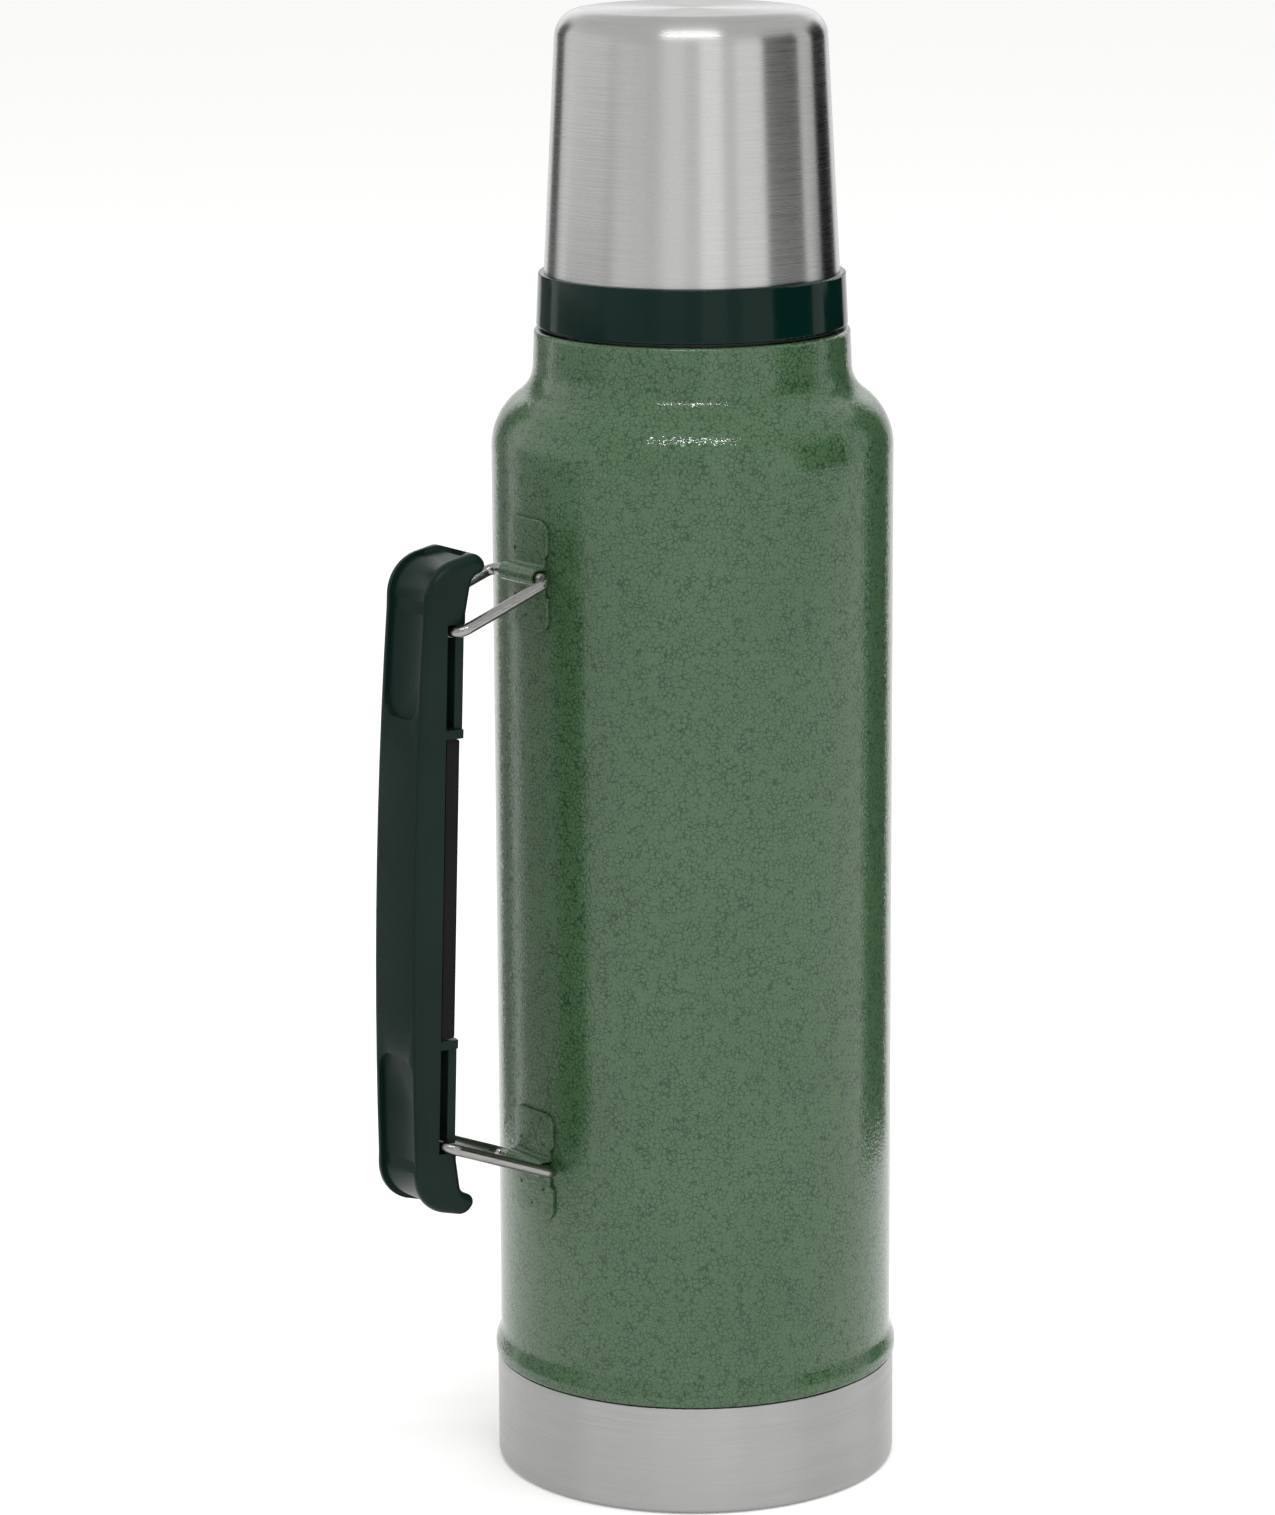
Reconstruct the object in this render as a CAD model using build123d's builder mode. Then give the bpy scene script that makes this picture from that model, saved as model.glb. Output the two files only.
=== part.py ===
"""Vacuum flask with a screw cup, a screw stopper and a fold-in carrying handle.

Frame: +Z up, origin at the centre of the foot, handle towards -X. Millimetres.
"""

import os
from math import acos, cos, degrees, radians, sin

from build123d import *

os.makedirs("parts", exist_ok=True)

# ---- Driving dimensions -------------------------------------------------------------

# Flask body
body_radius = 50.0
body_height = 291.7             # foot to the top of the painted neck
shell_wall = 0.8
shoulder_start = 262.3          # where the straight wall ends
shoulder_radius = 16.5
neck_root_radius = 8.5
neck_radius = 39.55             # at the foot of the neck
neck_taper = 2.4                # degrees
neck_rim_radius = 1.0
bead_height = 1.35              # how far the rolled bead stands out
bead_bottom = 27.9
bead_length = 6.4
bead_crest_share = 0.4          # share of the bead's length before it slopes back
bead_root_round = 0.3
bead_edge_round = 0.7
bead_crest_round = 3.0
bead_slope_round = 5.0

# Steel base
base_height = 27.6
base_wall = 0.8
base_clearance = 0.05
base_corner = 1.4
foot_width = 6.2                # flat ring that the flask stands on
foot_recess = 1.8
foot_slope = 1.0                # width over which the foot ring rises to the recess
shell_bottom = 4.8              # lower end of the painted shell, inside the base
plate_wall = 0.8
plate_dish = 2.4                # how far the middle of the closing disc is dished
dish_inner_share = 0.6          # of the disc's radius, where the dish is flat
dish_outer_share = 0.7
dish_bend = 2.0
seal_plug_radius = 2.6

# Inner bottle
liquid_radius = 41.8
bottle_wall = 0.6
bottle_floor = 14.0
bottle_floor_corner = 9.0
foil_gap = 0.6
foil_wall = 0.15
foil_margin = 12.0
getter_radius = 5.0
getter_hole_radius = 1.67
getter_height = 1.8

# Mouth and screw threads
thread_lead = 8.0
thread_starts = 2
thread_clearance = 0.5          # crest to the facing root
mouth_height = 12.3             # lip above the top of the painted neck
outer_thread_root = 33.8
outer_thread_crest = 35.1
inner_thread_root = 29.4
inner_thread_crest = 28.2
sleeve_wall = 1.2
inner_sleeve_length = 20.0
ridge_root_width = 1.8
ridge_crest_width = 0.8
ridge_sink = 0.3                # how far a ridge is rooted in its wall
outer_thread_low = 1.8          # start of the lip's outer thread over the painted neck
outer_thread_high = 2.6         # its end below the lip
inner_thread_low = 6.0          # start of the inner thread over the sleeve's lower end
inner_thread_high = 5.0
lip_wall = 1.6
lip_round = 0.6

# Cup
overall_height = 370.0
collar_gap = 0.7                # dark seam between the painted neck and the collar
collar_height = 13.2
collar_radius_low = 38.6
collar_radius_high = 38.0
cup_radius = 36.56              # steel, where it meets the collar
cup_taper = 3.0                 # degrees
cup_corner = 7.0
cup_wall = 0.6
liner_gap = 0.7                 # air between the steel and the plastic liner
liner_wall = 1.6
liner_ledge = 1.0               # rise of the collar's inner slope
liner_root_round = 0.4
collar_low_round = 0.6
collar_high_round = 0.5
liner_seat_round = 0.3
seat_land = 2.5                 # height over which the liner centres the steel
seat_clearance = 0.05
gasket_height = 1.9
cup_gasket_play = 0.1           # to the seat's wall
gasket_lift = 0.3               # free height of a gasket over its seat
seat_width = 2.0
bore_top_gap = 0.8              # room over the lip in the cup's bore
bore_thread_low = 3.8
bore_thread_high = 1.6

# Stopper
plug_length = 27.0              # below its flange
plug_wall = 1.8
plug_thread_low = 9.0
plug_thread_high = 4.0
plug_corner = 1.5
flange_root_round = 0.3
flange_edge_round = 0.5
flange_top_round = 1.0
plug_inner_corner = 0.8
foam_round = 1.0
flange_radius = 31.5
flange_height = 3.0
stopper_gasket_height = 1.6
stopper_gasket_inset = 0.4      # inside the flange's edge
stopper_gasket_play = 0.5       # round the plug's thread
knob_radius = 24.0
knob_height = 20.0
knob_wall = 2.0
knob_flutes = 14
flute_radius = 3.0
flute_depth = 1.35
knob_taper = 2.0                # degrees
knob_round = 1.0
spigot_length = 5.0
spigot_clearance = 0.2

# Handle brackets and wire bails
bracket_heights = {"lower": 85.6, "upper": 235.4}
bracket_width = 16.0
bracket_length = 27.5
bracket_wall = 0.9
bracket_corner = 3.0
bracket_rim_round = 0.3
rim_search = 0.05               # how far an edge may lie from the rim and still be taken as it
saddle_wall = 0.7
saddle_blend = 0.8              # curve from the plate up to the half tube
waist_length = 9.0
waist_depth = 1.0
waist_round = 0.5
weld_radius = 0.8
weld_depth = 0.35
weld_far = 10.3                 # from the wire to the weld near the end of a leaf
weld_near = 5.7
weld_spread = 4.6
wire_radius = 1.4
wire_clearance = 0.2
wire_lift = 0.6                 # wire over the painted wall
bail_half_width = 12.0
bail_bend = 3.0
upper_bail_length = 28.6
upper_bail_drop = 20.2          # degrees below level

# Handle
handle_tilt = 2.05              # degrees, foot outwards
handle_half_length = 81.9
handle_width = 20.0
handle_depth = 13.3             # at mid length, from the grip face outwards
handle_bow = 1.8                # how much the outer face falls back towards the ends
straight_half_length = 68.0
handle_corner = 10.5
nose_length = 6.0
nose_height = 3.4
crest_fall = 2.6                # the end slopes down from its crest to the outer corner
crest_rise = 0.8                # the corner under the crest's curve stands this much higher
crest_round = 3.5
nose_tip_round = 2.0
nose_root = 5.4                 # from the crest down to where the nose starts
nose_root_round = 3.0
edge_round = 2.2
pocket_half_width = 8.0
pocket_depth = 9.3
slot_start = 39.7
slot_end = 65.7
slot_floor = 6.0                # inner edge of the shell's side walls
wire_play = 0.5                 # between a wire and the end of its slot
strip_wall = 2.4
strip_width = 16.0
rib_width = 18.4
rib_length = 2.2
rib_setback = 0.4
pad_width = 16.8
pad_depth = 4.4
pad_round = 1.5
pad_gap = 0.3
tray_wall = 2.0
tray_clearance = 0.1
post_radius = 2.6
post_spacing = 50.0
channel_start = 42.0
channel_half_width = 7.2
channel_depth = 1.2
channel_corner = 4.5
channel_nose = 3.0              # how far the channel runs over the nose

# ---- Derived sizes ------------------------------------------------------------------

body_blend = shoulder_radius + neck_root_radius
shoulder_turn = degrees(acos(1 - (body_radius - neck_radius) / body_blend))
shoulder_rise = body_blend * sin(radians(shoulder_turn))
neck_start = shoulder_start + shoulder_rise
neck_top_radius = neck_radius - (body_height - neck_start) * sin(radians(neck_taper))

vacuum_gap = body_radius - shell_wall - liquid_radius - bottle_wall
bottle_neck_radius = inner_thread_root
inner_turn = degrees(acos(1 - (liquid_radius - bottle_neck_radius) / body_blend))
lip_top = body_height + mouth_height
sleeve_bottom = lip_top - inner_sleeve_length

collar_bottom = body_height + collar_gap
collar_top = collar_bottom + collar_height
seat_depth = gasket_height - collar_gap + gasket_lift
bore_radius = outer_thread_crest + thread_clearance
bore_crest = outer_thread_root + thread_clearance
bore_top = lip_top + bore_top_gap
cup_slope = sin(radians(cup_taper)) / cos(radians(cup_taper))

plug_radius = inner_thread_crest - thread_clearance
plug_crest = inner_thread_root - thread_clearance
flange_bottom = lip_top + gasket_lift + stopper_gasket_height
plug_bottom = flange_bottom - plug_length
flange_top = flange_bottom + flange_height

wire_reach = body_radius + wire_lift + wire_radius
saddle_bore = wire_radius + wire_clearance
saddle_radius = saddle_bore + saddle_wall
slot_centre = (slot_floor + strip_wall) / 2
wire_stop = slot_end - wire_radius - wire_play
tray_bottom = pad_depth + pad_gap
tray_half_length = slot_start - rib_length

# The handle hangs from the end of the upper bail, so its place follows from the bail.
upper_pivot = Vector(-wire_reach, 0, bracket_heights["upper"])
lower_pivot = Vector(-wire_reach, 0, bracket_heights["lower"])
drop = radians(upper_bail_drop)
upper_end = upper_pivot + Vector(-cos(drop), 0, -sin(drop)) * upper_bail_length
tilt = radians(handle_tilt)
outward = Vector(-cos(tilt), 0, sin(tilt))
along = Vector(sin(tilt), 0, cos(tilt))
handle_origin = upper_end - outward * slot_centre - along * wire_stop
lower_end = handle_origin + outward * slot_centre - along * wire_stop
handle_plane = Plane(origin=handle_origin, x_dir=outward, z_dir=(0, 1, 0))


# ---- Helpers ------------------------------------------------------------------------

def save(builder, name):
    """Label a finished piece and write it to its own STEP file."""
    builder.part.label = name
    export_step(builder.part, f"parts/{name}.step")


def thread_ridges(root, crest, low, high):
    """Helical ridges from a wall at radius `root` to `crest`, one for each start."""
    side = 1 if crest > root else -1
    with BuildPart() as ridges:
        with BuildLine() as path:
            Helix(pitch=thread_lead, height=high - low, radius=root, center=(0, 0, low))
        start = Plane(origin=path.line @ 0, x_dir=(side, 0, 0), z_dir=path.line % 0)
        with BuildSketch(start):
            with BuildLine():
                Polyline(
                    (-ridge_sink, -ridge_root_width / 2),
                    (abs(crest - root), -ridge_crest_width / 2),
                    (abs(crest - root), ridge_crest_width / 2),
                    (-ridge_sink, ridge_root_width / 2),
                    close=True,
                )
            make_face()
        sweep(path=path.line, is_frenet=True)
    turns = [360 * i / thread_starts for i in range(thread_starts)]
    return [Rot(0, 0, turn) * ridges.part for turn in turns]


def on_rim(edge, height):
    """Whether an edge bounds a bracket's outer face, away from the half tube."""
    ends = [edge @ 0, edge @ 0.5, edge @ 1]
    on_face = all(abs(Vector(p.X, p.Y).length - body_radius - bracket_wall) < rim_search for p in ends)
    half_length = bracket_length / 2
    return on_face and all(
        abs(p.Z - height) > half_length - rim_search
        or abs(p.Y) > bracket_width / 2 - waist_depth - rim_search
        or Vector(abs(p.Y), abs(p.Z - height)).length > half_length
        for p in ends
    )


def make_bracket(height):
    """Painted plate, spot welded to the wall, with a half tube that holds a wire."""
    half_length = bracket_length / 2
    half_width = bracket_width / 2
    waist = half_width - waist_depth
    outer = body_radius + bracket_wall
    with BuildPart() as bracket:
        with BuildSketch(Plane.YZ.offset(-wire_reach - saddle_radius)):
            with BuildLine():
                side = FilletPolyline(
                    (0, height - half_length),
                    (half_width, height - half_length),
                    (half_width, height - waist_length / 2 - waist_depth),
                    (waist, height - waist_length / 2),
                    (waist, height + waist_length / 2),
                    (half_width, height + waist_length / 2 + waist_depth),
                    (half_width, height + half_length),
                    (0, height + half_length),
                    radius=[bracket_corner] + 4 * [waist_round] + [bracket_corner],
                )
                mirror(side, about=Plane.YZ)
            make_face()
        extrude(amount=saddle_radius + wire_reach - body_radius / 2)
        with BuildSketch(Plane.XY.offset(height)):
            Circle(outer)
        extrude(amount=half_length, both=True, mode=Mode.INTERSECT)
        with BuildSketch(Plane.XZ):
            with Locations((-wire_reach, height)):
                Circle(saddle_radius)
            with Locations((-wire_reach + saddle_radius / 2, height)):
                Rectangle(saddle_radius, 2 * saddle_radius)
        extrude(amount=waist, both=True)
        long_edges = bracket.edges().filter_by(lambda edge: edge.length > waist)
        level_edges = long_edges.filter_by(lambda edge: abs(edge.center().Z - height) < waist_length / 2)
        foot_edges = level_edges.filter_by(lambda edge: edge.center().X > -wire_reach)
        fillet(foot_edges.filter_by(lambda edge: edge.center().X < -body_radius), saddle_blend)
        with BuildSketch(Plane.XZ):
            with Locations((-wire_reach, height)):
                Circle(saddle_bore)
            with Locations((-wire_reach + saddle_radius, height)):
                Rectangle(2 * saddle_radius, 2 * saddle_bore)
        extrude(amount=bracket_width, both=True, mode=Mode.SUBTRACT)
        with BuildSketch(Plane.XY.offset(height)):
            Circle(body_radius)
        extrude(amount=half_length, both=True, mode=Mode.SUBTRACT)
        rim = bracket.edges().filter_by(lambda edge: on_rim(edge, height))
        fillet(rim, bracket_rim_round)
        # Spot welds: one near the end of each leaf and two nearer the saddle.
        for rise, across in ((weld_far, 0), (weld_near, weld_spread), (weld_near, -weld_spread)):
            angle = across / body_radius
            reach = outer + weld_radius - weld_depth
            for z in (height - rise, height + rise):
                with Locations((-reach * cos(angle), reach * sin(angle), z)):
                    Sphere(weld_radius, mode=Mode.SUBTRACT)
    return bracket


def make_bail(inner, outer):
    """Closed loop of wire between its pivot in a bracket and its pivot in the handle."""
    reach = (outer - inner).length
    direction = (outer - inner).normalized()
    plane = Plane(origin=inner, x_dir=direction, z_dir=direction.cross(Vector(0, 1, 0)))
    with BuildPart() as bail:
        with BuildLine(plane) as loop:
            FilletPolyline(
                (0, -bail_half_width),
                (reach, -bail_half_width),
                (reach, bail_half_width),
                (0, bail_half_width),
                radius=bail_bend,
                close=True,
            )
        with BuildSketch(Plane(origin=loop.line @ 0, z_dir=loop.line % 0)):
            Circle(wire_radius)
        sweep(path=loop.line)
    return bail


# ---- Base ---------------------------------------------------------------------------

base_radius = body_radius + base_clearance + base_wall
foot_inner = base_radius - base_corner - foot_width
with BuildPart() as base_cap:
    with BuildSketch(Plane.XZ):
        with BuildLine():
            FilletPolyline(
                (0, foot_recess),
                (foot_inner - foot_slope, foot_recess),
                (foot_inner, 0),
                (base_radius, 0),
                (base_radius, base_height),
                (base_radius - base_wall, base_height),
                (base_radius - base_wall, base_wall),
                (foot_inner + base_wall, base_wall),
                (foot_inner + base_wall - foot_slope, foot_recess + base_wall),
                (0, foot_recess + base_wall),
                radius=[0, 0.4, 0.4, base_corner, 0.2, 0.2, 0.6, 0.2, 0.2, 0],
                close=True,
            )
        make_face()
    revolve(axis=Axis.Z)
save(base_cap, "base_cap")

# ---- Painted outer shell ------------------------------------------------------------

bead_radius = body_radius + bead_height
with BuildPart() as outer_shell:
    with BuildSketch(Plane.XZ):
        with BuildLine():
            wall = FilletPolyline(
                (body_radius, shell_bottom),
                (body_radius, bead_bottom),
                (bead_radius, bead_bottom),
                (bead_radius, bead_bottom + bead_crest_share * bead_length),
                (body_radius, bead_bottom + bead_length),
                (body_radius, shoulder_start),
                radius=[bead_root_round, bead_edge_round, bead_crest_round, bead_slope_round],
            )
            shoulder = JernArc(wall @ 1, (0, 1), shoulder_radius, shoulder_turn)
            JernArc(shoulder @ 1, shoulder % 1, neck_root_radius, -shoulder_turn)
            FilletPolyline(
                (neck_radius, neck_start),
                (neck_top_radius, body_height),
                (outer_thread_root, body_height),
                radius=neck_rim_radius,
            )
            offset(amount=shell_wall, side=Side.LEFT)
        make_face()
    revolve(axis=Axis.Z)
save(outer_shell, "outer_shell")

# ---- Bottom closure of the vacuum ---------------------------------------------------

plate_radius = body_radius - shell_wall
plate_top = shell_bottom + plate_dish
dish_inner = dish_inner_share * plate_radius
dish_outer = dish_outer_share * plate_radius
with BuildPart() as outer_base_plate:
    with BuildSketch(Plane.XZ):
        with BuildLine():
            FilletPolyline(
                (seal_plug_radius, plate_top),
                (dish_inner, plate_top),
                (dish_outer, shell_bottom),
                (plate_radius, shell_bottom),
                (plate_radius, shell_bottom + plate_wall),
                (dish_outer + plate_wall / 2, shell_bottom + plate_wall),
                (dish_inner + plate_wall / 2, plate_top + plate_wall),
                (seal_plug_radius, plate_top + plate_wall),
                radius=[0, dish_bend, dish_bend, 0, 0, dish_bend, dish_bend, 0],
                close=True,
            )
        make_face()
    revolve(axis=Axis.Z)
save(outer_base_plate, "outer_base_plate")

with BuildPart() as vacuum_seal_plug:
    with BuildSketch(Plane.XY.offset(plate_top)):
        Circle(seal_plug_radius)
    extrude(amount=plate_wall)
save(vacuum_seal_plug, "vacuum_seal_plug")

# ---- Inner bottle -------------------------------------------------------------------

inner_shoulder = shoulder_start - vacuum_gap / 2
with BuildPart() as inner_bottle:
    with BuildSketch(Plane.XZ):
        with BuildLine():
            floor = FilletPolyline(
                (0, bottle_floor),
                (liquid_radius, bottle_floor),
                (liquid_radius, inner_shoulder),
                radius=bottle_floor_corner,
            )
            bend = JernArc(floor @ 1, (0, 1), shoulder_radius, inner_turn)
            throat = JernArc(bend @ 1, bend % 1, neck_root_radius, -inner_turn)
            Line(throat @ 1, (bottle_neck_radius, sleeve_bottom))
            offset(amount=bottle_wall, side=Side.RIGHT)
        make_face()
    revolve(axis=Axis.Z)
save(inner_bottle, "inner_bottle")

foil_radius = liquid_radius + bottle_wall + foil_gap
with BuildPart() as radiation_foil:
    with BuildSketch(Plane.XY.offset(bottle_floor + foil_margin)):
        Circle(foil_radius + foil_wall)
        Circle(foil_radius, mode=Mode.SUBTRACT)
    extrude(amount=inner_shoulder - bottle_floor - 2 * foil_margin)
save(radiation_foil, "radiation_foil")

with BuildPart() as getter:
    with BuildSketch(Plane.XY.offset(bottle_floor - bottle_wall - getter_height)):
        Circle(getter_radius)
        Circle(getter_hole_radius, mode=Mode.SUBTRACT)
    extrude(amount=getter_height)
save(getter, "getter")

# ---- Mouth ring with both threads ---------------------------------------------------

outer_ridges = thread_ridges(
    outer_thread_root,
    outer_thread_crest,
    body_height + outer_thread_low,
    lip_top - outer_thread_high,
)
inner_ridges = thread_ridges(
    inner_thread_root,
    inner_thread_crest,
    sleeve_bottom + inner_thread_low,
    lip_top - inner_thread_high,
)
with BuildPart() as mouth_ring:
    with BuildSketch(Plane.XZ):
        with BuildLine():
            FilletPolyline(
                (inner_thread_root, sleeve_bottom),
                (inner_thread_root + sleeve_wall, sleeve_bottom),
                (inner_thread_root + sleeve_wall, lip_top - lip_wall),
                (outer_thread_root - sleeve_wall, lip_top - lip_wall),
                (outer_thread_root - sleeve_wall, body_height - shell_wall),
                (outer_thread_root, body_height - shell_wall),
                (outer_thread_root, lip_top),
                (inner_thread_root, lip_top),
                radius=[0, 0, lip_round, lip_round, 0, 0, lip_round, lip_round],
                close=True,
            )
        make_face()
    revolve(axis=Axis.Z)
    add(outer_ridges + inner_ridges)
save(mouth_ring, "mouth_ring")

# ---- Cup ----------------------------------------------------------------------------

cup_top_radius = cup_radius - (overall_height - collar_top) * cup_slope
with BuildPart() as cup_shell:
    with BuildSketch(Plane.XZ):
        with BuildLine():
            FilletPolyline(
                (cup_radius, collar_top + seat_clearance),
                (cup_top_radius, overall_height),
                (0, overall_height),
                radius=cup_corner,
            )
            offset(amount=cup_wall, side=Side.LEFT)
        make_face()
    revolve(axis=Axis.Z)
save(cup_shell, "cup_shell")

bore_ridges = thread_ridges(
    bore_radius, bore_crest, body_height + bore_thread_low, bore_top - bore_thread_high
)
liner_radius = cup_radius - cup_wall - liner_gap
liner_top = overall_height - cup_wall - liner_gap
liner_top_radius = liner_radius - (liner_top - collar_top) * cup_slope
liner_bore = liner_radius - liner_wall
liner_ceiling = liner_top - liner_wall
ceiling_radius = liner_bore - (liner_ceiling - bore_top) * cup_slope
seat_radius = bore_radius + seat_width
shell_seat = cup_radius - cup_wall / cos(radians(cup_taper)) - seat_clearance
outer_round = cup_corner - cup_wall - liner_gap
liner_rounds = [
    0, outer_round - liner_wall, liner_root_round, 0, 0, 0, 0, collar_low_round, collar_high_round, 0,
    liner_seat_round, 0, outer_round, 0
]
with BuildPart() as cup_liner:
    with BuildSketch(Plane.XZ):
        with BuildLine():
            FilletPolyline(
                (0, liner_ceiling),
                (ceiling_radius, liner_ceiling),
                (liner_bore, bore_top),
                (bore_radius, bore_top),
                (bore_radius, collar_bottom + seat_depth),
                (seat_radius, collar_bottom + seat_depth),
                (seat_radius, collar_bottom),
                (collar_radius_low, collar_bottom),
                (collar_radius_high, collar_top),
                (shell_seat, collar_top),
                (shell_seat - seat_land * cup_slope, collar_top + seat_land),
                (liner_radius - seat_land * cup_slope, collar_top + seat_land + liner_ledge),
                (liner_top_radius, liner_top),
                (0, liner_top),
                radius=liner_rounds,
                close=True,
            )
        make_face()
    revolve(axis=Axis.Z)
    add(bore_ridges)
save(cup_liner, "cup_liner")

with BuildPart() as cup_gasket:
    with BuildSketch(Plane.XY.offset(body_height + gasket_lift)):
        Circle(seat_radius - cup_gasket_play)
        Circle(bore_radius, mode=Mode.SUBTRACT)
    extrude(amount=gasket_height)
save(cup_gasket, "cup_gasket")

# ---- Stopper ------------------------------------------------------------------------

plug_ridges = thread_ridges(
    plug_radius, plug_crest, plug_bottom + plug_thread_low, flange_bottom - plug_thread_high
)
cavity_radius = plug_radius - plug_wall
plug_rounds = [
    0, plug_corner, flange_root_round, flange_edge_round, flange_top_round, 0, plug_inner_corner, 0
]
with BuildPart() as stopper_plug:
    with BuildSketch(Plane.XZ):
        with BuildLine():
            FilletPolyline(
                (0, plug_bottom),
                (plug_radius, plug_bottom),
                (plug_radius, flange_bottom),
                (flange_radius, flange_bottom),
                (flange_radius, flange_top),
                (cavity_radius, flange_top),
                (cavity_radius, plug_bottom + plug_wall),
                (0, plug_bottom + plug_wall),
                radius=plug_rounds,
                close=True,
            )
        make_face()
    revolve(axis=Axis.Z)
    add(plug_ridges)
save(stopper_plug, "stopper_plug")

with BuildPart() as stopper_foam:
    with BuildSketch(Plane.XY.offset(plug_bottom + plug_wall)):
        Circle(cavity_radius - spigot_clearance)
    extrude(amount=flange_top - spigot_length - plug_bottom - plug_wall)
    fillet(stopper_foam.edges(), radius=foam_round)
save(stopper_foam, "stopper_foam")

with BuildPart() as stopper_gasket:
    with BuildSketch(Plane.XY.offset(lip_top + gasket_lift)):
        Circle(flange_radius - stopper_gasket_inset)
        Circle(plug_crest + stopper_gasket_play, mode=Mode.SUBTRACT)
    extrude(amount=stopper_gasket_height)
save(stopper_gasket, "stopper_gasket")

knob_top = flange_top + knob_height
with BuildPart() as stopper_knob:
    with BuildSketch(Plane.XY.offset(flange_top)):
        Circle(knob_radius)
        with PolarLocations(knob_radius + flute_radius - flute_depth, knob_flutes):
            Circle(flute_radius, mode=Mode.SUBTRACT)
    extrude(amount=knob_height, taper=knob_taper)
    fillet(stopper_knob.faces().sort_by(Axis.Z)[-1].edges(), radius=knob_round)
    with BuildSketch(Plane.XY.offset(flange_top)):
        Circle(cavity_radius - spigot_clearance)
    extrude(amount=-spigot_length)
    with BuildSketch(Plane.XY.offset(flange_top - spigot_length)):
        Circle(knob_radius - flute_radius - knob_wall)
    extrude(amount=spigot_length + knob_height - knob_wall, mode=Mode.SUBTRACT)
save(stopper_knob, "stopper_knob")

# ---- Brackets and bails -------------------------------------------------------------

for level, height in bracket_heights.items():
    save(make_bracket(height), f"{level}_bracket")

save(make_bail(upper_pivot, upper_end), "upper_bail")
save(make_bail(lower_pivot, lower_end), "lower_bail")

# ---- Handle shell -------------------------------------------------------------------

end_depth = handle_depth - handle_bow
with BuildSketch(handle_plane) as handle_side:
    with BuildLine():
        ThreePointArc(
            (end_depth, -straight_half_length),
            (handle_depth, 0),
            (end_depth, straight_half_length),
        )
        end = FilletPolyline(
            (end_depth, straight_half_length),
            (end_depth, handle_half_length - crest_fall),
            (-nose_length / 2, handle_half_length + crest_rise),
            (-nose_length - crest_rise, handle_half_length - nose_height),
            (-nose_length / 4, handle_half_length - nose_root),
            (0, straight_half_length),
            radius=[handle_corner, crest_round, nose_tip_round, nose_root_round],
        )
        mirror(end, about=Plane.XZ)
        Line((0, -straight_half_length), (0, straight_half_length))
    make_face()

# The two shallow channels follow the outer face and run over the ends. Each cutter stops
# at a core that lies one channel depth under the surface.
with BuildPart() as channel_core:
    with BuildSketch(handle_plane):
        add(handle_side.sketch_local)
        offset(amount=-channel_depth, mode=Mode.REPLACE)
        with Locations((-handle_depth / 2, 0)):
            Rectangle(handle_depth, 2 * (handle_half_length - nose_height + channel_depth))
    extrude(amount=handle_width, both=True)

face_plane = Plane(origin=handle_origin + outward * slot_floor, x_dir=(0, 1, 0), z_dir=outward)
channel_length = handle_half_length - channel_start + channel_corner
with BuildPart() as face_channels:
    with BuildSketch(face_plane):
        with GridLocations(0, 2 * channel_start + channel_length, 1, 2):
            RectangleRounded(2 * channel_half_width, channel_length, channel_corner)
    extrude(amount=handle_depth)
    add(channel_core.part, mode=Mode.SUBTRACT)

nose_depth = handle_depth + channel_nose + channel_corner
with BuildPart() as end_channels:
    for side in (1, -1):
        crest_plane = Plane(handle_origin + along * side * slot_end, outward, along * side)
        with BuildSketch(crest_plane):
            with Locations((nose_depth / 2 - channel_nose, 0)):
                RectangleRounded(nose_depth, 2 * channel_half_width, channel_corner)
        extrude(amount=handle_half_length - slot_end + channel_depth)
    add(channel_core.part, mode=Mode.SUBTRACT)

with BuildPart() as handle_shell:
    extrude(handle_side.sketch, amount=handle_width / 2, both=True)
    fillet(handle_shell.faces().filter_by(Axis.Y).edges(), edge_round)
    add(face_channels.part, mode=Mode.SUBTRACT)
    add(end_channels.part, mode=Mode.SUBTRACT)
    with BuildSketch(handle_plane):
        with Locations((slot_floor / 2, 0)):
            Rectangle(slot_floor, 2 * slot_end)
        with Locations((-handle_depth / 2, 0)):
            Rectangle(handle_depth, 2 * slot_end)
    extrude(amount=handle_width, both=True, mode=Mode.SUBTRACT)
    with BuildSketch(handle_plane):
        with Locations((pocket_depth / 2, 0)):
            Rectangle(pocket_depth, 2 * slot_end)
    extrude(amount=pocket_half_width, both=True, mode=Mode.SUBTRACT)
save(handle_shell, "handle_shell")

# ---- Handle cover, with the strips that keep the wires in their slots ----------------

tray_half_width = pocket_half_width - tray_clearance
with BuildPart() as handle_cover:
    with BuildSketch(handle_plane):
        with Locations((tray_bottom + tray_wall / 2, 0)):
            Rectangle(tray_wall, 2 * slot_start)
    extrude(amount=tray_half_width, both=True)
    with BuildSketch(handle_plane):
        with Locations((strip_wall / 2, 0)):
            Rectangle(strip_wall, 2 * slot_end)
            Rectangle(strip_wall, 2 * tray_half_length, mode=Mode.SUBTRACT)
    extrude(amount=strip_width / 2, both=True)
    with BuildSketch(handle_plane):
        with GridLocations(0, 2 * slot_start - rib_length, 1, 2):
            with Locations((slot_floor / 2 + rib_setback / 2, 0)):
                Rectangle(slot_floor - rib_setback, rib_length)
    extrude(amount=rib_width / 2, both=True)
    with BuildSketch(Plane(handle_origin + outward * (tray_bottom + tray_wall), (0, 1, 0), outward)):
        with GridLocations(0, post_spacing, 1, 2):
            Circle(post_radius)
    extrude(amount=pocket_depth - tray_bottom - tray_wall)
save(handle_cover, "handle_cover")

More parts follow.
